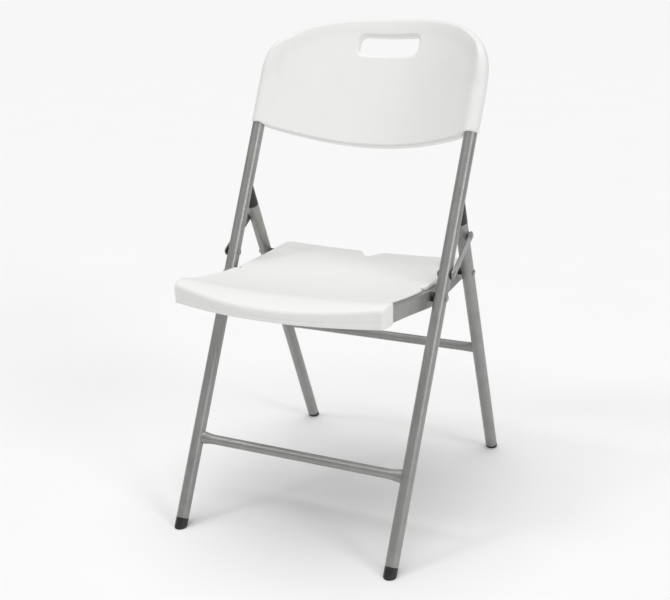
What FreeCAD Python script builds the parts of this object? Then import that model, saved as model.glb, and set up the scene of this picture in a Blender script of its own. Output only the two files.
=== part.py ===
import FreeCAD, Part
import math
import os
import Sketcher

# Folding chair: two inclined front uprights that carry a moulded backrest, a pair of
# rear legs joined by a crossbar, a moulded seat on two steel rails, and one short
# locking link on each side. The front of the chair faces -Y and X runs across it.
# Lengths are millimetres and angles are degrees. The origin lies on the floor under
# the middle of the chair's bounding box.

os.makedirs("parts", exist_ok=True)
V = FreeCAD.Vector
doc = FreeCAD.newDocument("folding_chair")

# --- Driving dimensions -------------------------------------------------------------
DIMENSIONS = (
    ("half_spacing", 200.0, "chair centre plane to each leg's centre line"),
    ("tube_radius", 11.0, "outer radius of the leg tube"),
    ("tube_wall", 1.2, "wall of the leg tube"),
    ("front_lean", 28.41, "front leg, angle from vertical, leaning back"),
    ("rear_lean", 22.49, "rear leg, angle from vertical, leaning forward"),
    ("foot_span", 520.2, "front foot to rear foot on the floor, centre lines"),
    ("origin_depth", 260.1, "front foot centre line to the origin"),
    ("front_foot_height", 16.8, "visible length of a front foot along its leg"),
    ("rear_foot_height", 9.5, "visible length of a rear foot along its leg"),
    ("front_tube_top", 836.0, "front tube end, along the leg from the floor"),
    ("rear_tube_top", 549.0, "rear tube end, along the leg from the floor"),
    ("rear_cap_height", 38.0, "rear leg cap, above the tube end"),
    ("seat_pivot_height", 403.42, "seat rail pivot on the front leg"),
    ("link_pivot_height", 438.31, "link pivot on the front leg"),
    ("rail_pivot_height", 410.16, "seat rail pivot on the rear leg"),
    ("brace_pivot_height", 482.89, "link pivot on the rear leg"),
    ("front_bar_height", 142.4, "front crossbar centre above the floor"),
    ("rear_bar_height", 245.6, "rear crossbar centre above the floor"),
    ("bar_radius", 8.5, "crossbar tube outer radius"),
    ("bar_wall", 1.2, "crossbar tube wall"),
    ("bar_flare_height", 22.0, "height of a crossbar's pressed end"),
    ("bar_flare_width", 13.0, "thickness of a crossbar's pressed end"),
    ("bar_flare_length", 26.0, "length over which a crossbar end is pressed"),
    ("plug_clearance", 0.1, "gap round a plug's stem inside its tube"),
    ("plug_depth", 22.0, "length of a plug's stem inside its tube"),
    ("foot_round", 1.5, "rounding of a foot's floor edge"),
    ("stop_gap", 0.4, "rear cap to the back of the front leg"),
    ("shank_radius", 3.0, "pivot rivet shank radius"),
    ("running_gap", 0.05, "radial clearance of a pivot hole"),
    ("face_gap", 0.15, "gap between flat faces that slide past each other"),
    ("open_gap", 0.3, "gap between a link's rear washer and the rear leg"),
    ("head_radius", 5.2, "pivot rivet head radius"),
    ("head_height", 1.7, "pivot rivet head height"),
    ("head_relief", 0.6, "room round a rivet head in a rail's flange"),
    ("washer_radius", 8.0, "pivot spacer radius"),
    ("rear_washer_radius", 6.0, "rear leg spacer radius"),
    ("rail_outer", 184.0, "centre plane to a seat rail's outer face"),
    ("rail_thickness", 2.0, "seat rail sheet thickness"),
    ("rail_flange", 15.0, "seat rail top flange width"),
    ("rail_end_round", 8.0, "corner radius of a seat rail's rear end"),
    ("link_thickness", 2.5, "locking link plate thickness"),
    ("link_width", 15.0, "locking link plate width"),
    ("link_standoff", 2.2, "front and rear leg tube to the link plate"),
    ("back_half_width", 213.5, "backrest half width"),
    ("back_bottom", 735.0, "backrest sleeve end, along the leg from the floor"),
    ("back_border", 13.5, "half thickness of the backrest's border"),
    ("back_depth", 55.0, "set-back of the backrest's front face at its middle"),
    ("back_thickness", 18.0, "backrest thickness at its middle"),
    ("grip_round", 6.0, "rounding of the hand slot's edges"),
    ("grip_half_width", 60.0, "hand slot half width"),
    ("grip_low", 888.0, "hand slot lower edge, along the leg"),
    ("grip_high", 924.0, "hand slot upper edge, along the leg"),
    ("grip_corner", 12.0, "hand slot corner radius"),
    ("seat_front_half", 187.0, "seat half width at its front wrap"),
    ("seat_side_half", 177.0, "seat half width between the legs"),
    ("seat_rear", 397.0, "seat rear edge behind the front foot"),
    ("lip_roll", 18.0, "depth over which the seat's front edge rolls down"),
    ("lip_drop", 5.0, "fall of the seat's rolled front edge"),
    ("seat_under", 24.0, "seat thickness between the rails"),
    ("lip_bottom", 410.0, "lower edge of the seat's front wrap"),
    ("screw_radius", 2.4, "fixing screw shank radius"),
    ("screw_head_radius", 4.6, "fixing screw head radius"),
    ("screw_head_height", 2.2, "fixing screw head height"),
)
sheet = doc.addObject("Spreadsheet::Sheet", "Dimensions")
for row, (alias, value, meaning) in enumerate(DIMENSIONS, start=1):
    sheet.set("A%d" % row, meaning)
    sheet.set("B%d" % row, str(value))
    sheet.setAlias("B%d" % row, alias)
doc.recompute()


def dim(alias):
    """One driving dimension as a number."""
    return float(getattr(sheet, alias))


def bound(alias):
    """One driving dimension as an expression."""
    return "Dimensions." + alias


SIDES = (("left", -1), ("right", 1))
TUBE = dim("tube_radius")
SPACING = dim("half_spacing")
DEPTH = dim("origin_depth")
FRONT_LEAN = math.radians(dim("front_lean"))
REAR_LEAN = math.radians(dim("rear_lean"))


# --- Helpers for sketches, bodies and placements --------------------------------------
def along(height, lean):
    """Distance along a leg from the floor to a point at a height."""
    return height / math.cos(lean)


def leg_frame(side, name):
    """Placement whose Z runs up one leg's centre line from the floor."""
    turn = {"front": -dim("front_lean"), "rear": dim("rear_lean")}[name]
    depth = {"front": -DEPTH, "rear": dim("foot_span") - DEPTH}[name]
    rotation = FreeCAD.Rotation(V(1, 0, 0), turn)
    return FreeCAD.Placement(V(side * SPACING, depth, 0), rotation)


def cross_frame(side, x, point):
    """Placement at a pivot whose Z points outwards across the chair."""
    rotation = FreeCAD.Rotation(V(0, 1, 0), 90 * side)
    return FreeCAD.Placement(V(side * x, point[0], point[1]), rotation)


def new_body(label, placement):
    """Empty body at its place."""
    body = doc.addObject("PartDesign::Body", label)
    body.Label = label
    body.Placement = placement
    return body


def new_sketch(body, name, plane):
    """Sketch on one of the body's own origin planes."""
    sketch = body.newObject("Sketcher::SketchObject", name)
    support = [f for f in body.Origin.OriginFeatures if f.Role == plane][0]
    sketch.AttachmentSupport = [(support, "")]
    sketch.MapMode = "FlatFace"
    return sketch


def add_circle(sketch, radius, expression, height=0.0, height_expression=None):
    """Circle on the sketch's vertical axis, bound to its radius and height."""
    curve = Part.Circle(V(0, height, 0), V(0, 0, 1), radius)
    index = sketch.addGeometry(curve, False)
    size = sketch.addConstraint(Sketcher.Constraint("Radius", index, radius))
    sketch.setExpression("Constraints[%d]" % size, expression)
    if height_expression is None:
        sketch.addConstraint(Sketcher.Constraint("Coincident", index, 3, -1, 1))
        return
    sketch.addConstraint(Sketcher.Constraint("PointOnObject", index, 3, -2))
    rise = sketch.addConstraint(Sketcher.Constraint("DistanceY", -1, 1, index, 3, height))
    sketch.setExpression("Constraints[%d]" % rise, height_expression)


def add_profile(sketch, corners):
    """Closed straight-sided profile whose corners are (value, expression) pairs."""
    points = [V(x[0], y[0], 0) for x, y in corners]
    count = len(points)
    for k in range(count):
        sketch.addGeometry(Part.LineSegment(points[k], points[(k + 1) % count]), False)
    for k in range(count):
        link = Sketcher.Constraint("Coincident", k, 2, (k + 1) % count, 1)
        sketch.addConstraint(link)
    for k, (x, y) in enumerate(corners):
        for kind, pair in (("DistanceX", x), ("DistanceY", y)):
            if abs(pair[0]) < 1e-9:
                axis = -2 if kind == "DistanceX" else -1
                sketch.addConstraint(Sketcher.Constraint("PointOnObject", k, 1, axis))
                continue
            index = sketch.addConstraint(Sketcher.Constraint(kind, -1, 1, k, 1, pair[0]))
            sketch.setExpression("Constraints[%d]" % index, pair[1])


def revolve_profile(body, corners):
    """Solid of revolution about the body's Z axis from a half profile."""
    sketch = new_sketch(body, body.Label + "_profile", "XZ_Plane")
    add_profile(sketch, corners)
    turn = body.newObject("PartDesign::Revolution", body.Label + "_turned")
    turn.Profile = sketch
    turn.ReferenceAxis = (sketch, ["V_Axis"])
    turn.Angle = 360
    body.Tip = turn
    return turn


def solid_node(label, shape):
    """Named solid whose shape is worked out from the driving dimensions."""
    feature = doc.addObject("Part::Feature", label)
    feature.Label = label
    feature.Shape = shape
    return feature


def smooth_edge(points):
    """Smooth edge through points."""
    curve = Part.BSplineCurve()
    curve.interpolate(points)
    return curve.toShape()


def straight(points):
    """Straight edges through points."""
    return [Part.LineSegment(a, b).toShape() for a, b in zip(points, points[1:])]


def table(rows, at):
    """Value of a smooth table of (station, value) rows."""
    for (a, fa), (b, fb) in zip(rows, rows[1:]):
        if at <= b:
            t = max(0.0, (at - a) / (b - a))
            s = t * t * (3 - 2 * t)
            blend = 0.5 * (s + t)
            return fa + (fb - fa) * blend
    return rows[-1][1]


def round_edges(shape, radius, wanted):
    """Fillet of the edges that a test picks out."""
    chosen = [edge for edge in shape.Edges if wanted(edge)]
    return shape.makeFillet(radius, chosen)


# --- Leg tubes: round tube with a cross hole at each of its pivots ---------------------
def leg_tube(label, side, name, start, end, pivots):
    """Straight tube of one leg with its pivot holes."""
    lean = {"front": "front_lean", "rear": "rear_lean"}[name]
    body = new_body(label, leg_frame(side, name))
    ring = new_sketch(body, label + "_section", "XY_Plane")
    ring.AttachmentOffset = FreeCAD.Placement(V(0, 0, dim(start)), FreeCAD.Rotation())
    ring.setExpression(".AttachmentOffset.Base.z", bound(start))
    add_circle(ring, TUBE, bound("tube_radius"))
    bore = TUBE - dim("tube_wall")
    add_circle(ring, bore, bound("tube_radius") + " - " + bound("tube_wall"))
    pad = body.newObject("PartDesign::Pad", label + "_pad")
    pad.Profile = ring
    pad.Length = dim(end) - dim(start)
    pad.setExpression("Length", bound(end) + " - " + bound(start))
    body.Tip = pad
    doc.recompute()
    holes = new_sketch(body, label + "_pivot_holes", "YZ_Plane")
    radius = dim("shank_radius") + dim("running_gap")
    for height in pivots:
        where = "%s / cos(%s * 1deg)" % (bound(height), bound(lean))
        size = bound("shank_radius") + " + " + bound("running_gap")
        reach = along(dim(height), math.radians(dim(lean)))
        add_circle(holes, radius, size, reach, where)
    cut = body.newObject("PartDesign::Pocket", label + "_pivots")
    cut.Profile = holes
    cut.Type = "ThroughAll"
    cut.Midplane = True
    body.Tip = cut
    return body


nodes = []
for word, side in SIDES:
    nodes.append(leg_tube("front_leg_" + word, side, "front", "front_foot_height",
                          "front_tube_top", ("seat_pivot_height", "link_pivot_height")))
    nodes.append(leg_tube("rear_leg_" + word, side, "rear", "rear_foot_height",
                          "rear_tube_top", ("rail_pivot_height",)))
doc.recompute()


# --- Crossbars: round tube, pressed taller at each end and coped round the legs --------
FLARE_STATIONS = ((1.0, 0.0), (0.75, 0.08), (0.5, 0.35), (0.3, 0.72), (0.12, 0.95), (0.0, 1.0))


def section_wire(x, height, width):
    """Closed smooth section across the bar at a distance from its middle."""
    points = []
    for k in range(16):
        angle = 2 * math.pi * k / 16
        points.append(V(x, width / 2 * math.cos(angle), height / 2 * math.sin(angle)))
    curve = Part.BSplineCurve()
    curve.interpolate(points, PeriodicFlag=True)
    return Part.Wire([curve.toShape()])


def bar_solid(inset):
    """Solid bar whose surface is moved inwards by an inset."""
    round_size = 2 * dim("bar_radius") - 2 * inset
    tall = dim("bar_flare_height") - 2 * inset
    thin = dim("bar_flare_width") - 2 * inset
    edge = SPACING - TUBE
    half = [(edge - share * dim("bar_flare_length"), mix) for share, mix in FLARE_STATIONS]
    half.append((SPACING, 1.0))
    stations = [(-x, mix) for x, mix in reversed(half)] + half
    wires = [section_wire(x, round_size + (tall - round_size) * mix,
                          round_size + (thin - round_size) * mix) for x, mix in stations]
    return Part.makeLoft(wires, True, True)


def crossbar(label, name, height):
    """Bar between the two legs of a pair, with hollow middle and coped ends."""
    lean = {"front": FRONT_LEAN, "rear": -REAR_LEAN}[name]
    base = {"front": 0.0, "rear": dim("foot_span")}[name] - DEPTH
    place = FreeCAD.Placement(V(0, base + dim(height) * math.tan(lean), dim(height)),
                              FreeCAD.Rotation(V(1, 0, 0), -math.degrees(lean)))
    bar = bar_solid(0.0).cut(bar_solid(dim("bar_wall")))
    for word, side in SIDES:
        leg = Part.makeCylinder(TUBE, 120, V(side * SPACING, 0, -60))
        bar = bar.cut(leg)
    solids = sorted(bar.Solids, key=lambda s: s.Volume)
    feature = solid_node(label, solids[-1])
    feature.Placement = place
    return feature


nodes.append(crossbar("front_crossbar", "front", "front_bar_height"))
nodes.append(crossbar("rear_crossbar", "rear", "rear_bar_height"))


# --- Feet and caps: black plugs with a stem inside the tube ----------------------------
def plug_stem(start, direction):
    """Stem that fills a tube's end with a little clearance."""
    radius = TUBE - dim("tube_wall") - dim("plug_clearance")
    return Part.makeCylinder(radius, dim("plug_depth"), V(0, 0, start), V(0, 0, direction))


def foot(label, side, name, height):
    """Foot plug whose underside lies flat on the floor."""
    reach = 2 * TUBE
    body = Part.makeCylinder(TUBE, dim(height) + reach, V(0, 0, -reach))
    body = body.fuse(plug_stem(dim(height), 1)).removeSplitter()
    body.Placement = leg_frame(side, name)
    floor = Part.makeBox(8 * TUBE, 8 * TUBE, 4 * reach,
                         body.Placement.Base + V(-4 * TUBE, -4 * TUBE, -4 * reach))
    body = body.cut(floor)
    body = round_edges(body, dim("foot_round"),
                       lambda e: e.BoundBox.ZMax < 1e-4)
    return solid_node(label, body)


def rear_cap(label, side):
    """Cap on a rear leg's top, its slanted face hollowed to rest on the front leg."""
    start = dim("rear_tube_top")
    body = Part.makeCylinder(TUBE, dim("rear_cap_height"), V(0, 0, start))
    body = body.fuse(plug_stem(start, -1)).removeSplitter()
    body.Placement = leg_frame(side, "rear")
    radius = TUBE + dim("stop_gap")
    leg = Part.makeCylinder(radius, 900)
    leg.Placement = leg_frame(side, "front")
    ahead = Part.makeBox(8 * TUBE, 300, 900, V(-4 * TUBE, -300, 0))
    ahead.Placement = leg_frame(side, "front")
    body = body.cut(leg).cut(ahead)
    solids = sorted(body.Solids, key=lambda s: s.Volume)
    return solid_node(label, solids[-1])


for word, side in SIDES:
    nodes.append(foot("front_foot_" + word, side, "front", "front_foot_height"))
    nodes.append(foot("rear_foot_" + word, side, "rear", "rear_foot_height"))
    nodes.append(rear_cap("rear_cap_" + word, side))


# --- Pivot points in the chair's side plane (depth, height) ----------------------------
def front_point(height):
    return (dim(height) * math.tan(FRONT_LEAN) - DEPTH, dim(height))


def rear_point(height):
    return (dim("foot_span") - dim(height) * math.tan(REAR_LEAN) - DEPTH, dim(height))


SEAT_PIVOT = front_point("seat_pivot_height")
LINK_PIVOT = front_point("link_pivot_height")
RAIL_PIVOT = rear_point("rail_pivot_height")
BRACE_PIVOT = rear_point("brace_pivot_height")


# --- Seat rails: pressed steel, a curved web with a flange turned in under the seat ----
RAIL_TOP = ((37, 441.0), (55, 438.2), (97, 431.0), (138, 424.5), (185, 418.0),
            (232, 413.0), (275, 411.6), (320, 412.2), (372, 414.5))
RAIL_LOW = ((37, 413.8), (55, 411.0), (97, 405.0), (138, 398.6), (185, 391.0),
            (218, 385.9), (245, 384.0), (275, 384.9), (320, 388.0), (372, 391.5))


def rail_face(x, top, low):
    """Side face of a rail between two curved edges."""
    upper = [V(x, y - DEPTH, z) for y, z in top]
    lower = [V(x, y - DEPTH, z) for y, z in low]
    edges = [smooth_edge(upper), smooth_edge(lower)]
    edges += straight([upper[0], lower[0]]) + straight([upper[-1], lower[-1]])
    return Part.Face(Part.Wire(Part.__sortEdges__(edges)))


SCREW_STATIONS = (2, 4, 6)
SCREW_INSET = 12.0


def screw_axis(side, station):
    """Point on the rail's top face and its upward normal at one fixing screw."""
    before, here, after = RAIL_TOP[station - 1:station + 2]
    normal = V(0, before[1] - after[1], after[0] - before[0]).normalize()
    return V(side * (dim("rail_outer") - SCREW_INSET), here[0] - DEPTH, here[1]), normal


def rail(label, side):
    """Web, inward flange and rounded rear end, with pivot and screw holes."""
    outer = side * dim("rail_outer")
    sheet_size = dim("rail_thickness")
    web = rail_face(outer, RAIL_TOP, RAIL_LOW).extrude(V(-side * sheet_size, 0, 0))
    under = [(y, z - sheet_size) for y, z in RAIL_TOP]
    flange = rail_face(outer, RAIL_TOP, under).extrude(V(-side * dim("rail_flange"), 0, 0))
    shape = web.fuse(flange).removeSplitter()
    outline = [e for e in shape.Edges if abs(e.BoundBox.XMin - outer) < 0.01
               and abs(e.BoundBox.XMax - outer) < 0.01
               and e.BoundBox.YLength > 100 and e.CenterOfMass.z > 407]
    shape = shape.makeFillet(0.8 * sheet_size, outline)
    rear = [e for e in shape.Edges if e.BoundBox.XLength > 0.5 * sheet_size
            and e.BoundBox.YMin > RAIL_LOW[-1][0] - DEPTH - 1
            and e.BoundBox.ZMax < RAIL_LOW[-1][1] + 1]
    shape = shape.makeFillet(dim("rail_end_round"), rear)
    for point in (SEAT_PIVOT, RAIL_PIVOT):
        hole = Part.makeCylinder(dim("shank_radius") + dim("running_gap"), 4 * sheet_size,
                                 V(outer + side * sheet_size, point[0], point[1]),
                                 V(-side, 0, 0))
        shape = shape.cut(hole)
    relief = Part.makeCylinder(dim("head_radius") + dim("head_relief"), dim("rail_flange"),
                               V(outer - side * sheet_size, RAIL_PIVOT[0], RAIL_PIVOT[1]),
                               V(-side, 0, 0))
    shape = shape.cut(relief)
    for station in SCREW_STATIONS:
        point, normal = screw_axis(side, station)
        radius = dim("screw_radius") + dim("plug_clearance")
        shape = shape.cut(Part.makeCylinder(radius, 4 * sheet_size,
                                            point - normal * 2 * sheet_size, normal))
    return solid_node(label, shape)


for word, side in SIDES:
    nodes.append(rail("seat_rail_" + word, side))


# --- Pivot rivets, spacers and locking links -------------------------------------------
def rivet(label, side, point, inner, outer):
    """Rivet across the chair from an inner face to an outer face, with two heads."""
    length = outer - inner
    body = new_body(label, cross_frame(side, inner, point))
    shank = (dim("shank_radius"), bound("shank_radius"))
    head = (dim("head_radius"), bound("head_radius"))
    crown = (dim("shank_radius") + 0.6, bound("shank_radius") + " + 0.6")
    low = (-dim("head_height"), "-" + bound("head_height"))
    top = (length + dim("head_height"), "%.4f + %s" % (length, bound("head_height")))
    end = (length, "%.4f" % length)
    half_low = (-0.5 * dim("head_height"), "-0.5 * " + bound("head_height"))
    half_top = (length + 0.5 * dim("head_height"),
                "%.4f + 0.5 * %s" % (length, bound("head_height")))
    zero = (0.0, "0")
    revolve_profile(body, [(zero, low), (crown, low), (head, half_low), (head, zero),
                           (shank, zero), (shank, end), (head, end), (head, half_top),
                           (crown, top), (zero, top)])
    return body


def spacer(label, side, point, inner, outer, size="washer_radius"):
    """Round spacer on a rivet between two faces."""
    gap = dim("shank_radius") + dim("running_gap")
    radius = dim(size)
    length = outer - inner
    ring = Part.makeCylinder(radius, length, V(side * inner, point[0], point[1]),
                             V(side, 0, 0))
    hole = Part.makeCylinder(gap, length, V(side * inner, point[0], point[1]),
                             V(side, 0, 0))
    return solid_node(label, ring.cut(hole))


def link(label, side):
    """Flat link with round ends and a pivot hole at its front end."""
    inner = SPACING + TUBE + dim("link_standoff")
    radius = dim("link_width") / 2
    a = V(side * inner, LINK_PIVOT[0], LINK_PIVOT[1])
    b = V(side * inner, BRACE_PIVOT[0], BRACE_PIVOT[1])
    run = (b - a).normalize()
    across = V(0, -run.z, run.y) * radius
    thick = V(side * dim("link_thickness"), 0, 0)
    edges = [Part.LineSegment(a + across, b + across).toShape(),
             Part.Arc(b + across, b + run * radius, b - across).toShape(),
             Part.LineSegment(b - across, a - across).toShape(),
             Part.Arc(a - across, a - run * radius, a + across).toShape()]
    plate = Part.Face(Part.Wire(edges)).extrude(thick)
    for centre in (a, b):
        hole = Part.makeCylinder(dim("shank_radius") + dim("running_gap"),
                                 dim("link_thickness"), centre, V(side, 0, 0))
        plate = plate.cut(hole)
    outline = [e for e in plate.Edges if e.Length > 20]
    return solid_node(label, plate.makeChamfer(0.4, outline))


RAIL_OUT = dim("rail_outer")
RAIL_IN = RAIL_OUT - dim("rail_thickness")
LINK_IN = SPACING + TUBE + dim("link_standoff")
LINK_OUT = LINK_IN + dim("link_thickness")
LEG_OUT = SPACING + TUBE
LEG_IN = SPACING - TUBE
GAP = dim("face_gap")

for word, side in SIDES:
    nodes.append(rivet("seat_pivot_rivet_" + word, side, SEAT_PIVOT, RAIL_IN - GAP, LEG_OUT))
    nodes.append(spacer("seat_pivot_spacer_" + word, side, SEAT_PIVOT, RAIL_OUT + GAP, LEG_IN))
    nodes.append(rivet("rail_pivot_rivet_" + word, side, RAIL_PIVOT, RAIL_IN - GAP, LEG_OUT))
    nodes.append(spacer("rail_pivot_spacer_" + word, side, RAIL_PIVOT, RAIL_OUT + GAP, LEG_IN,
                        "rear_washer_radius"))
    nodes.append(link("link_" + word, side))
    nodes.append(rivet("link_rivet_" + word, side, LINK_PIVOT, LEG_IN, LINK_OUT + GAP))
    nodes.append(spacer("link_spacer_" + word, side, LINK_PIVOT, LEG_OUT, LINK_IN - GAP))


# The locking link's rear rivet rides with the link. Its inner head works as the spacer
# and stops just short of the rear leg.
def brace_rivet(label, side):
    """Short rivet through a link's rear end with a wide inner head."""
    inner = LEG_OUT + dim("open_gap")
    place = V(side * inner, BRACE_PIVOT[0], BRACE_PIVOT[1])
    axis = V(side, 0, 0)
    flange = Part.makeCylinder(0.8 * dim("washer_radius"), LINK_IN - inner, place, axis)
    shank = Part.makeCylinder(dim("shank_radius"), LINK_OUT - inner, place, axis)
    base = V(side * LINK_OUT, BRACE_PIVOT[0], BRACE_PIVOT[1])
    head = Part.makeCylinder(dim("head_radius"), dim("head_height"), base, axis)
    shape = flange.fuse(shank).fuse(head).removeSplitter()
    crown = [e for e in shape.Edges if abs(abs(e.CenterOfMass.x) - LINK_OUT
                                           - dim("head_height")) < 0.01]
    return solid_node(label, shape.makeFillet(0.9, crown))


for word, side in SIDES:
    nodes.append(brace_rivet("brace_rivet_" + word, side))
doc.recompute()


# --- Backrest: one moulded shell, curved across the chair, sleeved over both uprights ---
# Its own frame has X across the chair, Z up the uprights and Y towards the rear.
BACK_PLACE = FreeCAD.Placement(V(0, -DEPTH, 0), FreeCAD.Rotation(V(1, 0, 0),
                                                                 -dim("front_lean")))
TOP_EDGE = ((213.5, 806.0), (211.5, 839.0), (205.0, 866.0), (192.5, 888.5), (173.0, 910.0),
            (150.0, 927.0), (126.0, 939.0), (95.0, 949.0), (60.0, 955.0), (0.0, 958.0))
LOW_EDGE = ((188.0, 731.5), (150.0, 728.5), (100.0, 725.0), (50.0, 722.8), (0.0, 722.0))


BOW_SHARES = (0.0, 0.2, 0.4, 0.6, 0.75, 0.86)
FRONT_BORDER = ((-15.0, -0.5), (-9.0, -0.86), (-4.0, -0.98), (3.0, -1.0), (13.5, -1.0))
REAR_BORDER = ((-18.0, 1.32), (-11.0, 1.07), (-5.0, 1.0), (3.0, 1.0), (13.5, 1.0))


def across_section(front):
    """Stations (x, y) of the shell's front or rear face from the middle outwards."""
    rows = []
    for share in BOW_SHARES:
        bow = dim("back_depth") * (1 - (share / 0.93) ** 2)
        rows.append((share * SPACING, bow + (0.0 if front else dim("back_thickness"))))
    for offset, level in FRONT_BORDER if front else REAR_BORDER:
        rows.append((SPACING + offset, level * dim("back_border")))
    return rows


def mirrored(rows):
    """Stations from the far left to the far right."""
    left = [(-x, y) for x, y in reversed(rows) if x > 0]
    return left + list(rows)


def backrest():
    """Curved shell with an arched top, a hand slot and a bore for each upright."""
    half = dim("back_half_width")
    front = [V(x, y, 0) for x, y in mirrored(across_section(True))]
    rear = [V(x, y, 0) for x, y in mirrored(across_section(False))]
    edges = [smooth_edge(front), smooth_edge(rear)]
    edges += straight([front[0], rear[0]]) + straight([front[-1], rear[-1]])
    section = Part.Face(Part.Wire(Part.__sortEdges__(edges)))
    section.translate(V(0, 0, 600))
    shell = section.extrude(V(0, 0, 500))
    top = [V(-x, -100, z) for x, z in TOP_EDGE[:-1]]
    top += [V(x, -100, z) for x, z in reversed(TOP_EDGE)]
    low = [V(-x, -100, z) for x, z in LOW_EDGE[:-1]]
    low += [V(x, -100, z) for x, z in reversed(LOW_EDGE)]
    sleeve = dim("back_bottom")
    outline = [smooth_edge(top), smooth_edge(low)]
    outline += straight([top[0], V(-half, -100, sleeve), V(low[0].x, -100, sleeve), low[0]])
    outline += straight([top[-1], V(half, -100, sleeve), V(low[-1].x, -100, sleeve), low[-1]])
    window = Part.Face(Part.Wire(Part.__sortEdges__(outline))).extrude(V(0, 300, 0))
    shell = shell.common(window)
    corner = dim("grip_corner")
    slot = Part.makeBox(2 * dim("grip_half_width"), 300, dim("grip_high") - dim("grip_low"),
                        V(-dim("grip_half_width"), -100, dim("grip_low")))
    upright = [e for e in slot.Edges if e.BoundBox.YLength > 200]
    shell = shell.cut(slot.makeFillet(corner, upright))
    for word, side in SIDES:
        bore = Part.makeCylinder(TUBE + dim("plug_clearance"), dim("front_tube_top")
                                 - sleeve + 1.0, V(side * SPACING, 0, sleeve))
        shell = shell.cut(bore)
    return round_edges(shell, dim("grip_round"), on_grip_edge)


def on_grip_edge(edge):
    """True for the edges of both faces round the hand slot."""
    box = edge.BoundBox
    around = box.ZMin > dim("grip_low") - 5 and box.ZMax < dim("grip_high") + 5
    inside = max(abs(box.XMin), abs(box.XMax)) < dim("grip_half_width") + 5
    return around and inside and box.YLength < 8


BACK_SCREWS = (760.0, 815.0)
shell = backrest()
ring = []
for word, side in SIDES:
    for reach in BACK_SCREWS:
        base = V(side * SPACING, TUBE + dim("plug_clearance"), reach)
        depth = dim("back_border") - TUBE - dim("plug_clearance")
        hole = Part.makeCylinder(dim("screw_radius") + dim("running_gap"), depth + 1.0,
                                 base, V(0, 1, 0))
        shell = shell.cut(hole)
        stand = depth + dim("face_gap")
        shank = Part.makeCylinder(dim("screw_radius"), stand, base, V(0, 1, 0))
        head = Part.makeCylinder(dim("screw_head_radius"), dim("screw_head_height"),
                                 base + V(0, stand, 0), V(0, 1, 0))
        crown = [e for e in head.Edges if e.CenterOfMass.y > base.y + stand + 1]
        ring.append(shank.fuse(head.makeFillet(1.2, crown)).removeSplitter())
back_node = solid_node("backrest", shell)
back_node.Placement = BACK_PLACE
screws = solid_node("backrest_screws", Part.makeCompound(ring))
screws.Placement = BACK_PLACE
nodes += [back_node, screws]


# --- Seat: one moulded shell, dished, with a front wrap over the rails' ends ------------
RIM = ((-40, 425.0), (-10, 436.0), (15, 443.5), (40, 446.0), (66, 441.0), (97, 435.8),
       (145, 428.4), (200, 423.4), (250, 420.8), (300, 420.0), (350, 420.4), (420, 421.6))
DISH = ((-40, 3.0), (40, 6.0), (120, 10.5), (220, 12.0), (300, 9.5), (397, 5.0), (420, 4.5))
FRONT_REACH = 30.0
FRONT_MIDDLE = -10.0


def seat_top(x, y):
    """Height of the seat's upper face, rolled down towards the bowed front edge."""
    share = min(abs(x) / dim("seat_side_half"), 1.0)
    crown = table(RIM, y) - table(DISH, y) * (1 - share ** 2.2)
    inset = y - FRONT_MIDDLE - FRONT_REACH * (x / 180) ** 2
    slack = min(max(1 - inset / dim("lip_roll"), 0.0), 1.25)
    return crown - dim("lip_drop") * slack ** 2.4


def surface_block(height, shift, drop):
    """Solid between a curved face and its copy moved straight up or down."""
    depths = [-22 + 6.0 * j for j in range(15)] + [74 + 21.0 * j for j in range(17)]
    grid = []
    for y in depths:
        grid.append([V(-200 + 400 * i / 16, y - DEPTH, height(-200 + 400 * i / 16, y) + shift)
                     for i in range(17)])
    face = Part.BSplineSurface()
    face.interpolate(grid)
    return face.toShape().extrude(V(0, 0, drop))


def seat_outline():
    """Plan of the seat: bowed front, wrap, side recesses at the legs, notched rear."""
    wide = dim("seat_front_half")
    side = dim("seat_side_half")
    rear = dim("seat_rear")
    bow = [(x * wide / 180, FRONT_MIDDLE + FRONT_REACH * (x / 180) ** 2)
           for x in (0, 30, 60, 90, 120, 145, 162)]
    corner = [(wide - 5.5, bow[-1][1] + 4.0), (wide - 1.2, bow[-1][1] + 13.0),
              (wide, bow[-1][1] + 26.0)]
    front = [V(-x, y - DEPTH, 0) for x, y in reversed((bow + corner)[1:])]
    front += [V(x, y - DEPTH, 0) for x, y in bow + corner]
    flank = [(wide, corner[-1][1]), (wide, 52.0), (side, 58.0), (side, 198.0),
             (side - 10.0, 203.0), (side - 10.0, 212.0), (side, 218.0), (side, rear - 12.0),
             (side - 3.5, rear - 3.5), (side - 12.0, rear), (20.0, rear), (15.0, rear - 5.0),
             (3.0, rear - 25.0), (0.0, rear - 27.0)]
    right = [V(x, y - DEPTH, 0) for x, y in flank]
    left = [V(-x, y - DEPTH, 0) for x, y in flank]
    edges = [smooth_edge(front)] + straight(right) + straight(left)
    return Part.Face(Part.Wire(Part.__sortEdges__(edges)))


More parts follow.
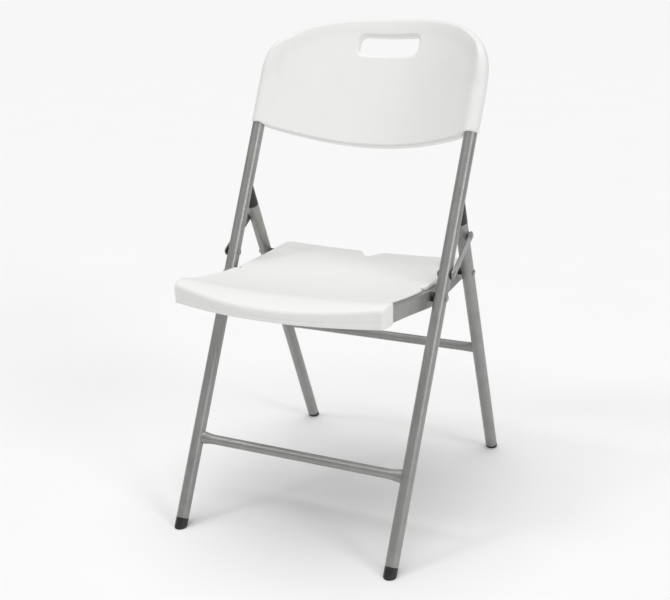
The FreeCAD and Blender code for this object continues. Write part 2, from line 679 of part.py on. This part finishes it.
def seat():
    """Seat shell with room under its edges for the rails."""
    block = seat_outline()
    block.translate(V(0, 0, 370))
    block = block.extrude(V(0, 0, 100))
    block = block.common(surface_block(seat_top, 0.0, -90))
    under = []
    for y, z in ((-40, dim("lip_bottom")), (44, dim("lip_bottom"))):
        under.append((y, z))
    for y in (62, 110, 170, 240, 320, 420):
        under.append((y, table(RIM, y) - dim("seat_under") - 6.0))
    profile = [V(-250, y - DEPTH, z) for y, z in under]
    low = straight(profile + [V(-250, under[-1][0] - DEPTH, 300), V(-250, -40 - DEPTH, 300),
                              profile[0]])
    block = block.cut(Part.Face(Part.Wire(low)).extrude(V(500, 0, 0)))
    for word, side in SIDES:
        top = [(y, z + dim("face_gap")) for y, z in RAIL_TOP]
        low = [(y, 360.0) for y, z in RAIL_TOP]
        inner = dim("rail_outer") - dim("rail_flange") - 4.0
        room = rail_face(side * (dim("rail_outer") + 0.5), top, low)
        room = room.extrude(V(-side * (dim("rail_outer") - inner + 0.5), 0, 0))
        block = block.cut(room)
    return block


SCREW_GRIP = 3.0
shell = seat()
ring = []
for word, side in SIDES:
    for station in SCREW_STATIONS:
        point, normal = screw_axis(side, station)
        base = point - normal * dim("rail_thickness")
        length = dim("rail_thickness") + SCREW_GRIP
        shank = Part.makeCylinder(dim("screw_radius"), length, base, normal)
        head = Part.makeCylinder(dim("screw_head_radius"), dim("screw_head_height"),
                                 base, normal * -1)
        low = min(edge.CenterOfMass.z for edge in head.Edges)
        head = round_edges(head, 1.2, lambda e: e.CenterOfMass.z < low + 0.01)
        shell = shell.cut(shank)
        ring.append(shank.fuse(head).removeSplitter())
nodes.append(solid_node("seat", shell))
nodes.append(solid_node("seat_screws", Part.makeCompound(ring)))
doc.recompute()

# --- Check every piece and write one STEP file for each ---------------------------------
for feature in nodes:
    state = feature.State
    shape = feature.Shape
    if "Invalid" in state or "Error" in state or shape.isNull() or not shape.isValid():
        raise RuntimeError("bad piece: " + feature.Label)
    shape.exportStep("parts/" + feature.Label + ".step")
    box = shape.optimalBoundingBox(True, False)
    print("%-26s solids %d volume %9.1f  x %.1f..%.1f y %.1f..%.1f z %.1f..%.1f" % (
        feature.Label, len(shape.Solids), shape.Volume, box.XMin, box.XMax,
        box.YMin, box.YMax, box.ZMin, box.ZMax))
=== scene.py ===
"""Folding chair: white moulded seat and backrest on a silver-grey tubular steel frame."""
import math

import bmesh
import bpy
from mathutils import Matrix, Vector


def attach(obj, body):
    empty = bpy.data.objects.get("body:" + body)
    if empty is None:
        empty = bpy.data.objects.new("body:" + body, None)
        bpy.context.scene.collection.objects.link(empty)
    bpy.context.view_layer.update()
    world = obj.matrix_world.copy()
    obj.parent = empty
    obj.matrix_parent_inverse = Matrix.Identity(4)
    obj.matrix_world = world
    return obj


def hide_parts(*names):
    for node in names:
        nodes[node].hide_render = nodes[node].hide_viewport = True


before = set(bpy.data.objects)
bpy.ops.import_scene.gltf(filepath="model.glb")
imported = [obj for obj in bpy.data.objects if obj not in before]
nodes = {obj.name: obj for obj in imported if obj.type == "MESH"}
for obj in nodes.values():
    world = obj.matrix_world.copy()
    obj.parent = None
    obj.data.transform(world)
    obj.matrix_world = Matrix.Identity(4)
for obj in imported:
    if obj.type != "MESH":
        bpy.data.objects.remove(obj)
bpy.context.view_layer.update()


# --- Legs and crossbars ---------------------------------------------------------------
# Drawn steel tube, 22 mm across, bent nowhere and cut square. Each pair of legs is joined
# by welded crossbars with pressed ends. Legs, bars, rails and links are powder coated in
# one silver-grey finish with a fine metallic fleck.
class Flow:
    """A shader value that can be written in sums, products and nodes."""

    def __init__(self, tree, socket):
        self.tree = tree
        self.socket = socket

    def node(self, kind, settings=None, values=None, output=0):
        """Add a node, set it up, then give its sockets their values or links."""
        made = self.tree.nodes.new(kind)
        for name, setting in (settings or {}).items():
            if name == "stops":
                ramp = made.color_ramp.elements
                while len(ramp) < len(setting):
                    ramp.new(0.5)
                for element, (place, colour) in zip(ramp, setting):
                    element.position = place
                    element.color = (*colour, 1.0)
            else:
                setattr(made, name, setting)
        for name, value in (values or {}).items():
            if isinstance(value, Flow):
                self.tree.links.new(value.socket, made.inputs[name])
            else:
                made.inputs[name].default_value = value
        return Flow(self.tree, made.outputs[output])

    def sum_of(self, operation, first, second):
        return self.node("ShaderNodeMath", {"operation": operation}, {0: first, 1: second})

    def __add__(self, other):
        return self.sum_of("ADD", self, other)

    __radd__ = __add__

    def __sub__(self, other):
        return self.sum_of("SUBTRACT", self, other)

    def __rsub__(self, other):
        return self.sum_of("SUBTRACT", other, self)

    def __mul__(self, other):
        return self.sum_of("MULTIPLY", self, other)

    __rmul__ = __mul__

    def between(self, low, high):
        """0 below low, 1 above high and a smooth rise from one to the other."""
        return self.node("ShaderNodeMapRange", {"interpolation_type": "SMOOTHSTEP"},
                         {"Value": self, "From Min": low, "From Max": high})

    def tint(self, dark, light):
        """The colour from dark to light at this share."""
        return self.node("ShaderNodeMix", {"data_type": "RGBA"},
                         {0: self, 6: (*dark, 1.0), 7: (*light, 1.0)}, output=2)

    def noise(self, scale, detail=2.0, roughness=0.5, stretch=None):
        """Noise at so many cells to the metre, drawn out along an axis by stretch."""
        place = self
        if stretch:
            place = self.node("ShaderNodeMapping", {}, {"Vector": self, "Scale": stretch})
        return self.node("ShaderNodeTexNoise", {}, {"Vector": place, "Scale": scale,
                                                    "Detail": detail, "Roughness": roughness})

    def bump(self, distance, strength=1.0, under=None):
        values = {"Height": self, "Distance": distance, "Strength": strength}
        if under:
            values["Normal"] = under
        return self.node("ShaderNodeBump", {}, values)


def finish(name, settings):
    """A new material: its place on the piece, its shader, and fixed shader settings."""
    material = bpy.data.materials.new(name)
    material.use_nodes = True
    tree = material.node_tree
    shader = tree.nodes["Principled BSDF"]
    for socket, value in settings.items():
        shader.inputs[socket].default_value = value
    place = tree.nodes.new("ShaderNodeTexCoord").outputs["Object"]
    return material, Flow(tree, place), shader


def feed(shader, socket, flow):
    flow.tree.links.new(flow.socket, shader.inputs[socket])


def powder_coat(name, dark, light):
    """Silver-grey powder coat: fine fleck, faint clouding, orange peel and rubbed spots."""
    material, place, shader = finish(name, {"Specular IOR Level": 0.35})
    fleck = place.noise(2600.0, 1.0).between(0.44, 0.66)
    cloud = place.noise(38.0, 4.0, 0.6)
    rub = place.noise(210.0, 6.0, 0.7).between(0.66, 0.78)
    share = 0.55 * fleck + 0.5 * cloud + 0.25 * rub
    feed(shader, "Base Color", share.tint(dark, light))
    feed(shader, "Metallic", 0.3 + 0.3 * fleck)
    feed(shader, "Roughness", 0.34 - 0.08 * fleck + 0.08 * cloud)
    peel = place.noise(520.0, 2.0).bump(0.00012, 0.35)
    grain = fleck.bump(0.00004, 0.5, peel)
    feed(shader, "Normal", grain)
    return material


tube_finish = powder_coat("powder_coat_tube", (0.21, 0.21, 0.202), (0.48, 0.48, 0.465))
for word in ("left", "right"):
    nodes["front_leg_" + word].material_slots[0].material = tube_finish
    nodes["rear_leg_" + word].material_slots[0].material = tube_finish
for word in ("front", "rear"):
    nodes[word + "_crossbar"].material_slots[0].material = tube_finish


# --- Seat rails and links -------------------------------------------------------------
# Pressed steel angle under each side of the seat, and a short flat link that locks each
# side open. Both are coated with the frame, so they take the same finish.
plate_finish = powder_coat("powder_coat_plate", (0.21, 0.21, 0.202), (0.48, 0.48, 0.465))
for word in ("left", "right"):
    nodes["seat_rail_" + word].material_slots[0].material = plate_finish
    nodes["link_" + word].material_slots[0].material = plate_finish


# --- Rivets ---------------------------------------------------------------------------
# Zinc plated steel rivets, their heads spun down with a burnished ring and a dull shank.
def plated_steel():
    """Zinc plate: cool grey metal with fine turned scratches and patches of dulling."""
    material, place, shader = finish("zinc_plate", {"Specular IOR Level": 0.5})
    scratch = place.noise(900.0, 4.0, 0.7, (1.0, 1.0, 9.0))
    patch = place.noise(160.0, 3.0)
    feed(shader, "Base Color", patch.tint((0.25, 0.25, 0.25), (0.5, 0.5, 0.49)))
    feed(shader, "Metallic", 0.7 + 0.3 * patch)
    feed(shader, "Roughness", 0.28 + 0.3 * scratch)
    feed(shader, "Normal", scratch.bump(0.00005, 0.4))
    return material


rivet_finish = plated_steel()
for node, piece in nodes.items():
    if "rivet" in node or "screws" in node:
        piece.material_slots[0].material = rivet_finish


# --- Feet, tube caps and spacers ------------------------------------------------------
# Black polyethylene: a tall cap on each front leg, a short plug in each rear leg, a cap in
# the top of each rear leg and a round spacer at each pivot. All are injection moulded.
def black_plastic():
    """Black moulded plastic: near black, satin, scuffed paler towards the floor."""
    material, place, shader = finish("black_polyethylene", {"Specular IOR Level": 0.45})
    height = place.node("ShaderNodeSeparateXYZ", {}, {"Vector": place}, output=2)
    scuff = place.noise(420.0, 6.0, 0.7).between(0.52, 0.72) * (1 - height.between(0.0, 0.018))
    cloud = place.noise(90.0, 3.0)
    feed(shader, "Base Color", (0.3 * cloud + 0.6 * scuff).tint((0.012, 0.012, 0.013),
                                                               (0.07, 0.07, 0.07)))
    feed(shader, "Roughness", 0.34 + 0.12 * cloud + 0.25 * scuff)
    feed(shader, "Normal", place.noise(1500.0, 2.0).bump(0.00005, 0.4))
    return material


black_finish = black_plastic()
for node, piece in nodes.items():
    if "foot" in node or "cap" in node or "spacer" in node:
        piece.material_slots[0].material = black_finish


# --- Seat -----------------------------------------------------------------------------
# One blow-moulded shell of white polyethylene, dished for sitting, with its front edge
# rolled down over the ends of the rails and a small notch at the middle of the rear.
def white_plastic():
    """White polyethylene: matt, finely grained by its mould, very slightly uneven."""
    material, place, shader = finish("white_polyethylene", {"Specular IOR Level": 0.4,
                                                            "Coat Roughness": 0.45})
    flow_mark = place.noise(7.0, 3.0, 0.55)
    grain = place.noise(1150.0, 3.0, 0.6)
    smudge = place.noise(26.0, 5.0, 0.65).between(0.5, 0.8)
    share = 0.55 * flow_mark + 0.25 * grain + 0.2 - 0.35 * smudge
    feed(shader, "Base Color", share.tint((0.84, 0.84, 0.82), (0.89, 0.89, 0.875)))
    feed(shader, "Roughness", 0.4 + 0.14 * grain + 0.08 * smudge)
    waves = flow_mark.bump(0.0012, 0.25)
    feed(shader, "Normal", grain.bump(0.00008, 0.5, waves))
    return material


def smooth_table(rows, at):
    """Value at a place in a table of (place, value) rows, on a smooth curve."""
    last = len(rows) - 1
    k = max(i for i in range(last) if i == 0 or rows[i][0] <= at)
    slopes = []
    for i in (k, k + 1):
        a, b = rows[max(i - 1, 0)], rows[min(i + 1, last)]
        slopes.append((b[1] - a[1]) / (b[0] - a[0]))
    (x0, y0), (x1, y1) = rows[k], rows[k + 1]
    run = x1 - x0
    t = min(max((at - x0) / run, 0.0), 1.0)
    held = y0 * (1 + 2 * t) * (1 - t) ** 2 + y1 * t * t * (3 - 2 * t)
    return held + run * t * (1 - t) * ((1 - t) * slopes[0] - t * slopes[1])


def grow(mesh, loop, places):
    """Extrude the open loop of vertices once and move each new one to its place."""
    pairs = zip(loop, loop[1:] + loop[:1])
    edges = [mesh.edges.get(pair) for pair in pairs]
    made = bmesh.ops.extrude_edge_only(mesh, edges=edges)["geom"]
    fresh = {part for part in made if isinstance(part, bmesh.types.BMVert)}
    after = []
    for vert, place in zip(loop, places):
        new = next(e.other_vert(vert) for e in vert.link_edges if e.other_vert(vert) in fresh)
        new.co = place
        after.append(new)
    return after


def filled(points, step):
    """The points, with more between any two that are further apart than a step."""
    rows = [points[0]]
    for a, b in zip(points, points[1:]):
        count = max(math.ceil((Vector(b) - Vector(a)).length / step), 1)
        rows += [tuple(Vector(a).lerp(Vector(b), k / count)) for k in range(1, count + 1)]
    return rows


def piece_from(mesh, name, materials, levels=1):
    """Close the mesh up and make it a smooth shaded piece with its normals outward."""
    bmesh.ops.remove_doubles(mesh, verts=mesh.verts, dist=1e-6)
    bmesh.ops.recalc_face_normals(mesh, faces=mesh.faces)
    for face in mesh.faces:
        face.smooth = True
    data = bpy.data.meshes.new(name)
    mesh.to_mesh(data)
    mesh.free()
    for material in materials:
        data.materials.append(material)
    piece = bpy.data.objects.new(name, data)
    bpy.context.scene.collection.objects.link(piece)
    if levels:
        soften = piece.modifiers.new("soften", "SUBSURF")
        soften.levels = levels
        soften.render_levels = levels
    return piece


front_foot_line = -0.2601
seat_rim = ((-40, 425.0), (-10, 436.0), (15, 443.5), (40, 446.0), (66, 441.0), (97, 435.8),
            (145, 428.4), (200, 423.4), (250, 420.8), (300, 420.0), (350, 420.4), (420, 421.6))
seat_dish = ((-40, 3.0), (40, 6.0), (120, 10.5), (220, 12.0), (300, 9.5), (397, 5.0),
             (420, 4.5))
rail_top = ((37, 441.0), (55, 438.2), (97, 431.0), (138, 424.5), (185, 418.0), (232, 413.0),
            (275, 411.6), (320, 412.2), (372, 414.5), (420, 417.0))
seat_half = 177.0
front_half = 181.5
rear_half = 173.5
seat_rear = 397.0
wrap_end = 55.5
lip_reach = 18.0
lip_drop = 5.0
lip_bottom = 410.0
pan_depth = 30.0
notch_half = 20.0
notch_depth = 29.0
half_columns = 36
ledge_columns = 2


def seat_front(x):
    return 30.0 * (x / 180.0) ** 2 - 10.0


def seat_height(x, y):
    """Upper face: dished, with raised sides and the front rolled down."""
    share = min(abs(x) / seat_half, 1.0)
    height = smooth_table(seat_rim, y) - smooth_table(seat_dish, y) * (1 - share ** 2.2)
    slack = min(max(1 - (y - seat_front(x)) / lip_reach, 0.0), 1.25)
    return height - lip_drop * slack ** 2.4


def notch(x):
    """How far the rear edge comes forward at the middle."""
    share = min(abs(x) / notch_half, 1.0)
    return notch_depth * (1 - share) * (1 + 0.35 * share)


side_line = [(181.5, 18.3), (184.3, 22.6), (185.9, 27.6), (186.8, 34.0), (187.0, 41.0),
             (187.0, 50.8), (186.4, 53.3), (184.6, 54.8), (179.0, 55.3), (177.0, 57.4),
             (177.0, 193.0), (175.8, 196.5), (169.5, 199.5), (168.0, 202.0), (168.0, 206.0),
             (169.5, 208.5), (175.8, 211.5), (177.0, 215.0), (177.0, 385.0), (176.1, 389.6),
             (173.5, 393.5)]
edge_round = ((15, 8.0), (28, 6.0), (42, 4.0), (50, 2.2), (60, 2.2), (80, 3.0), (370, 3.0),
              (395, 4.5), (400, 4.5))
right_line = filled(side_line, 7.0)
columns = 2 * half_columns
rows = len(right_line) - 1
plan_front = []
plan_rear = []
for i in range(columns + 1):
    share = i / half_columns - 1
    plan_front.append((front_half * share, seat_front(front_half * share)))
    x = rear_half * share
    corner = 3.5 * max(abs(share) * rear_half - 165.0, 0) / 8.5
    plan_rear.append((x, seat_rear - notch(x) - corner))
plan_front[0] = (-right_line[0][0], right_line[0][1])
plan_front[-1] = right_line[0]
plan_rear[0] = (-right_line[-1][0], right_line[-1][1])
plan_rear[-1] = right_line[-1]

# The outline anticlockwise from the front left corner, as (column, row, x, y).
outline = [(i, 0, *plan_front[i]) for i in range(columns)]
outline += [(columns, j, *right_line[j]) for j in range(rows)]
outline += [(i, rows, *plan_rear[i]) for i in range(columns, 0, -1)]
outline += [(0, j, -right_line[j][0], right_line[j][1]) for j in range(rows, 0, -1)]
inset = {}
outward = []
for k, (i, j, x, y) in enumerate(outline):
    before = outline[k - 1]
    after = outline[(k + 1) % len(outline)]
    out = Vector((after[3] - before[3], before[2] - after[2])).normalized()
    out *= smooth_table(edge_round, y)
    outward.append(out)
    inset[(i, j)] = Vector((x, y)) - out


def patch(i, j):
    """Place in plan of a grid vertex, from the four sides of the inset outline."""
    s = i / columns
    t = (right_line[j][1] - right_line[0][1]) / (right_line[rows][1] - right_line[0][1])
    along = inset[(i, 0)] * (1 - t) + inset[(i, rows)] * t
    across = inset[(0, j)] * (1 - s) + inset[(columns, j)] * s
    near = inset[(0, 0)] * (1 - s) + inset[(columns, 0)] * s
    far = inset[(0, rows)] * (1 - s) + inset[(columns, rows)] * s
    return along + across - near * (1 - t) - far * t


def seat_underside(i, j, y):
    """Lower face: the lip's flat bottom, a ledge over each rail and the pan between."""
    if right_line[j][1] < wrap_end:
        return lip_bottom
    if min(i, columns - i) <= ledge_columns:
        return smooth_table(rail_top, y) + 0.2
    return smooth_table(seat_rim, y) - pan_depth


seat_mesh = bmesh.new()
skins = []
for upper in (True, False):
    made = bmesh.ops.create_grid(seat_mesh, x_segments=columns, y_segments=rows, size=1.0)
    skin = {}
    for vert in made["verts"]:
        i = round((vert.co.x + 1) / 2 * columns)
        j = round((vert.co.y + 1) / 2 * rows)
        plan = patch(i, j)
        height = seat_height(*plan) if upper else seat_underside(i, j, plan.y)
        vert.co = Vector((plan.x, plan.y, height))
        skin[(i, j)] = vert
    skins.append(skin)
loop = [skins[0][(i, j)] for i, j, x, y in outline]
tops = [vert.co.copy() for vert in loop]
lows = [skins[1][(i, j)].co.copy() for i, j, x, y in outline]


def wall_ring(out_share, fall):
    """One ring of the seat's wall: its reach outward, and its fall as a rule of depth."""
    ring = []
    for top, low, out in zip(tops, lows, outward):
        place = top + Vector((*(out * out_share), 0))
        place.z -= fall(top.z - low.z, out.length)
        ring.append(place)
    return ring


def upper_round(depth, radius):
    return min(radius, 0.5 * depth)


def lower_round(depth, radius):
    return min(2.0, 0.25 * depth)


for turn in (20, 40, 60, 78):
    turn = math.radians(turn)
    loop = grow(seat_mesh, loop, wall_ring(
        math.sin(turn), lambda d, r: upper_round(d, r) * (1 - math.cos(turn))))
parting = 0.62
for share, sink in ((0.0, 0.0), (0.35, 0.0), (parting - 0.03, 0.0), (parting, -0.12),
                    (parting + 0.03, 0.0), (1.0, 0.0)):
    loop = grow(seat_mesh, loop, wall_ring(
        1.0 + sink, lambda d, r: upper_round(d, r)
        + share * (d - upper_round(d, r) - lower_round(d, r))))
for turn in (30, 60):
    turn = math.radians(turn)
    loop = grow(seat_mesh, loop, wall_ring(
        1.0 - 0.4 * (1 - math.cos(turn)),
        lambda d, r: d - lower_round(d, r) * (1 - math.sin(turn))))
loop = grow(seat_mesh, loop, wall_ring(0.6, lambda d, r: d))
loop = grow(seat_mesh, loop, lows)
bmesh.ops.remove_doubles(seat_mesh, verts=seat_mesh.verts, dist=1e-3)
bmesh.ops.scale(seat_mesh, verts=seat_mesh.verts, vec=(0.001, 0.001, 0.001))
bmesh.ops.translate(seat_mesh, verts=seat_mesh.verts, vec=(0, front_foot_line, 0))
white_finish = white_plastic()
seat = piece_from(seat_mesh, "seat_shell", [white_finish])
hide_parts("seat")
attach(seat, "seat_unit")


# --- Backrest -------------------------------------------------------------------------
# One blow-moulded shell, hollow across the back, with a rolled border at each side that
# slides over the upright and a hand slot under its arched top. Two screws hold each side.
leg_lean = math.radians(28.41)
upright = 200.0
border = 13.5
shell_depth = 18.0
bow_depth = 55.0
sleeve_end = 735.0
grip_half, grip_low, grip_high, grip_corner = 57.5, 889.0, 923.0, 12.0
grip_round = 6.0
face_line = [(share * upright, bow_depth * (1 - (share / 0.93) ** 2))
             for share in (0.0, 0.2, 0.4, 0.6, 0.75, 0.86)]
front_line = face_line + [(185.0, -7.0), (191.0, -11.6), (196.0, -13.2), (200.0, -13.5),
                          (214.0, -13.5)]
rear_line = [(x, y + shell_depth) for x, y in face_line]
rear_line += [(182.0, 17.8), (189.0, 14.6), (195.0, 13.5), (200.0, 13.5), (214.0, 13.5)]
arch = [(213.5, 806), (211.5, 839), (205, 866), (192.5, 888.5), (173, 910), (150, 927),
        (126, 939), (95, 949), (60, 955), (30, 957.3), (0, 958)]
hem = [(0, 722.0), (50, 722.8), (100, 725.0), (150, 728.5), (188, 731.5)]


def spread(points, count):
    """So many equal steps along a smooth line through the points."""
    fine = []
    runs = [0.0]
    for a, b in zip(points, points[1:]):
        runs.append(runs[-1] + math.dist(a, b))
    for axis in (0, 1):
        fine.append([(run, point[axis]) for run, point in zip(runs, points)])
    return [Vector((smooth_table(fine[0], runs[-1] * k / count),
                    smooth_table(fine[1], runs[-1] * k / count))) for k in range(count + 1)]


def arc(centre, radius, start, stop, count):
    """Points of an arc, from a start angle to a stop angle in degrees."""
    turns = [math.radians(start + (stop - start) * k / count) for k in range(count + 1)]
    return [Vector((centre[0] + radius * math.cos(a), centre[1] + radius * math.sin(a)))
            for a in turns]


def normal_at(points, k):
    """Outward normal of a line that runs anticlockwise round the shell."""
    a = points[max(k - 1, 0)]
    b = points[min(k + 1, len(points) - 1)]
    return Vector((b.y - a.y, a.x - b.x)).normalized()


# The right half of the border from the middle of the hem up to the middle of the arch, as
# (inset place, reach outward, rounding in depth).
hem_points = spread(hem, 22)
half_border = []
for k, point in enumerate(hem_points):
    out = normal_at(hem_points, k) * 4.0
    half_border.append((point - out, out, 4.5))
for x in (192.0, 196.0, 199.0):
    half_border.append((Vector((x, sleeve_end + 1.5)), Vector((0.0, -1.5)), 1.5))
half_border.append((Vector((upright, sleeve_end + 1.5)), Vector((border - 2.5, -1.5)), 11.0))
for k in range(9):
    rise = sleeve_end + 2.5 + (806.0 - sleeve_end - 2.5) * k / 8
    half_border.append((Vector((upright, rise)), Vector((border, 0.0)), border))
arch_points = spread(arch, 30)
for k in range(1, len(arch_points)):
    share = min(k / 14, 1.0)
    reach = border + (8.0 - border) * share
    out = normal_at(arch_points, k) * reach
    if k == len(arch_points) - 1:
        out = Vector((0.0, reach))
    half_border.append((arch_points[k] - out, out, reach))
half_border[0] = (Vector((0.0, hem[0][1] + 4.0)), Vector((0.0, -4.0)), 4.5)

# The right half of the slot, matched point for point with the border.
inner = grip_half - grip_corner
half_slot = [Vector((inner * k / 18, grip_low)) for k in range(18)]
half_slot += arc((inner, grip_low + grip_corner), grip_corner, -90, 0, 12)
side_run = grip_high - grip_low - 2 * grip_corner
half_slot += [Vector((grip_half, grip_low + grip_corner + side_run * k / 6)) for k in range(1, 6)]
half_slot += arc((inner, grip_high - grip_corner), grip_corner, 0, 90, 11)
left_over = len(half_border) - len(half_slot)
half_slot += [Vector((inner * (1 - k / left_over), grip_high)) for k in range(1, left_over + 1)]


def slot_normal(point):
    """Direction from the slot's edge into the shell."""
    middle = (grip_low + grip_high) / 2
    core = Vector((min(max(point.x, -inner), inner),
                   min(max(point.y, middle - side_run / 2), middle + side_run / 2)))
    return (point - core).normalized()


def both_halves(half):
    """The whole loop from the half: the left side is the right side mirrored."""
    flip = [tuple(Vector((-p.x, p.y)) if isinstance(p, Vector) else p for p in entry)
            for entry in half[-2:0:-1]]
    return half + flip


border_loop = both_halves(half_border)
slot_loop = [entry[0] for entry in both_halves([(p,) for p in half_slot])]
arch_loop = [entry[0] + entry[1] for entry in border_loop if (entry[0] + entry[1]).y > 845]


def roll(x, z):
    """How far the front face swells forward beside the arched top."""
    near = min((Vector((x, z)) - point).length for point in arch_loop)
    share = min(max((34.0 - near) / 20.0, 0.0), 1.0)
    corner = min(max((abs(x) - 110.0) / 65.0, 0.0), 1.0)
    return (0.8 + 1.6 * corner) * share * share * (3 - 2 * share)


def front_face(point):
    return smooth_table(front_line, abs(point.x)) - roll(point.x, point.y)


def rear_face(point):
    return smooth_table(rear_line, abs(point.x))


rings = []
steps = 26
for face, onward in ((front_face, 1), (rear_face, -1)):
    skin = []
    for k in range(steps + 1)[::onward]:
        share = 0.5 - 0.5 * math.cos(math.pi * k / steps)
        ring = []
        for point, (place, out, depth) in zip(slot_loop, border_loop):
            start = point + slot_normal(point) * grip_round
            here = start.lerp(place, share)
            ring.append(Vector((here.x, face(here), here.y)))
        skin.append(ring)
    if onward == 1:
        rings += skin
        rim_front = skin[-1]
        grip_front = skin[0]
        continue
    rim_rear = skin[0]
    grip_rear = skin[-1]
    for side, turns in ((1, (18, 36, 54, 72, 90)), (-1, (90, 72, 54, 36, 18))):
        for turn in turns:
            turn = math.radians(turn)
            ring = []
            for front, rear, (place, out, depth) in zip(rim_front, rim_rear, border_loop):
                depth = min(depth, 0.49 * (rear.y - front.y))
                fall = depth * (1 - math.cos(turn))
                y = front.y + fall if side == 1 else rear.y - fall
                ring.append(Vector((place.x + out.x * math.sin(turn), y,
                                    place.y + out.y * math.sin(turn))))
            rings.append(ring)
    rings += skin
for side, turns in ((1, (22, 45, 67, 90)), (-1, (90, 67, 45, 22))):
    for turn in turns:
        turn = math.radians(turn)
        ring = []
        for front, rear, point in zip(grip_front, grip_rear, slot_loop):
            out = slot_normal(point) * grip_round * (1 - math.sin(turn))
            fall = grip_round * (1 - math.cos(turn))
            y = rear.y - fall if side == 1 else front.y + fall
            ring.append(Vector((point.x + out.x, y, point.y + out.y)))
        rings.append(ring)

back_mesh = bmesh.new()
made = bmesh.ops.create_circle(back_mesh, cap_ends=False, segments=len(rings[0]), radius=1.0)
loop = made["verts"]
for vert, place in zip(loop, rings[0]):
    vert.co = place
for ring in rings[1:] + rings[:1]:
    loop = grow(back_mesh, loop, ring)
bmesh.ops.remove_doubles(back_mesh, verts=back_mesh.verts, dist=1e-3)
bmesh.ops.rotate(back_mesh, verts=back_mesh.verts, cent=(0, 0, 0),
                 matrix=Matrix.Rotation(-leg_lean, 3, "X"))
bmesh.ops.scale(back_mesh, verts=back_mesh.verts, vec=(0.001, 0.001, 0.001))
bmesh.ops.translate(back_mesh, verts=back_mesh.verts, vec=(0, front_foot_line, 0))
backrest = piece_from(back_mesh, "backrest_shell", [white_finish])
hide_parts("backrest")
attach(backrest, "frame")


# --- Studio ---------------------------------------------------------------------------
# A pale seamless floor, an even white surround and three broad distant lamps: from the
# right, the front left and above. The camera looks down on the chair from its front right.
def floor_finish():
    """Pale matt floor with the faintest unevenness."""
    material, place, shader = finish("studio_floor", {"Roughness": 0.9,
                                                      "Specular IOR Level": 0.1})
    feed(shader, "Base Color", place.noise(3.0, 2.0).tint((0.9, 0.9, 0.9),
                                                          (0.92, 0.92, 0.92)))
    return material


floor_mesh = bmesh.new()
bmesh.ops.create_grid(floor_mesh, x_segments=8, y_segments=8, size=40.0)
floor = piece_from(floor_mesh, "studio_floor", [floor_finish()], levels=0)

world = bpy.data.worlds.new("studio_surround")
world.use_nodes = True
surround = world.node_tree.nodes["Background"].inputs
surround["Color"].default_value = (1.0, 1.0, 1.0, 1.0)
surround["Strength"].default_value = 0.3
bpy.context.scene.world = world
bpy.context.scene.view_settings.view_transform = "Standard"


def soft_lamp(name, towards, spread_angle, strength):
    """Broad distant lamp shining from the given direction."""
    lamp = bpy.data.lights.new(name, "SUN")
    lamp.angle = math.radians(spread_angle)
    lamp.energy = strength
    holder = bpy.data.objects.new(name, lamp)
    holder.location = Vector(towards)
    holder.rotation_euler = Vector(towards).to_track_quat("Z", "Y").to_euler()
    bpy.context.scene.collection.objects.link(holder)


soft_lamp("key_lamp", (0.9, -0.3, 0.45), 20.0, 0.65)
soft_lamp("side_lamp", (-0.575, -0.5, 0.9), 8.0, 0.22)
soft_lamp("top_lamp", (-0.1, -0.2, 3.0), 60.0, 1.9)

camera_data = bpy.data.cameras.new("camera")
camera_data.sensor_width = 36.0
camera_data.lens = 56.71
camera_data.shift_x = 0.0198
camera_data.shift_y = 0.1223
camera = bpy.data.objects.new("camera", camera_data)
bearing, tilt, roll_angle = (math.radians(a) for a in (27.278, 22.481, 1.973))
ahead = Vector((-math.sin(bearing) * math.cos(tilt), math.cos(bearing) * math.cos(tilt),
                -math.sin(tilt)))
across = Vector((math.cos(bearing), math.sin(bearing), 0.0))
turned = Matrix((across, across.cross(ahead), -ahead)).transposed()
turned = Matrix.Rotation(roll_angle, 3, ahead) @ turned
camera.matrix_world = Matrix.Translation((0.7742, -1.5879, 0.94)) @ turned.to_4x4()
bpy.context.scene.collection.objects.link(camera)
bpy.context.scene.camera = camera
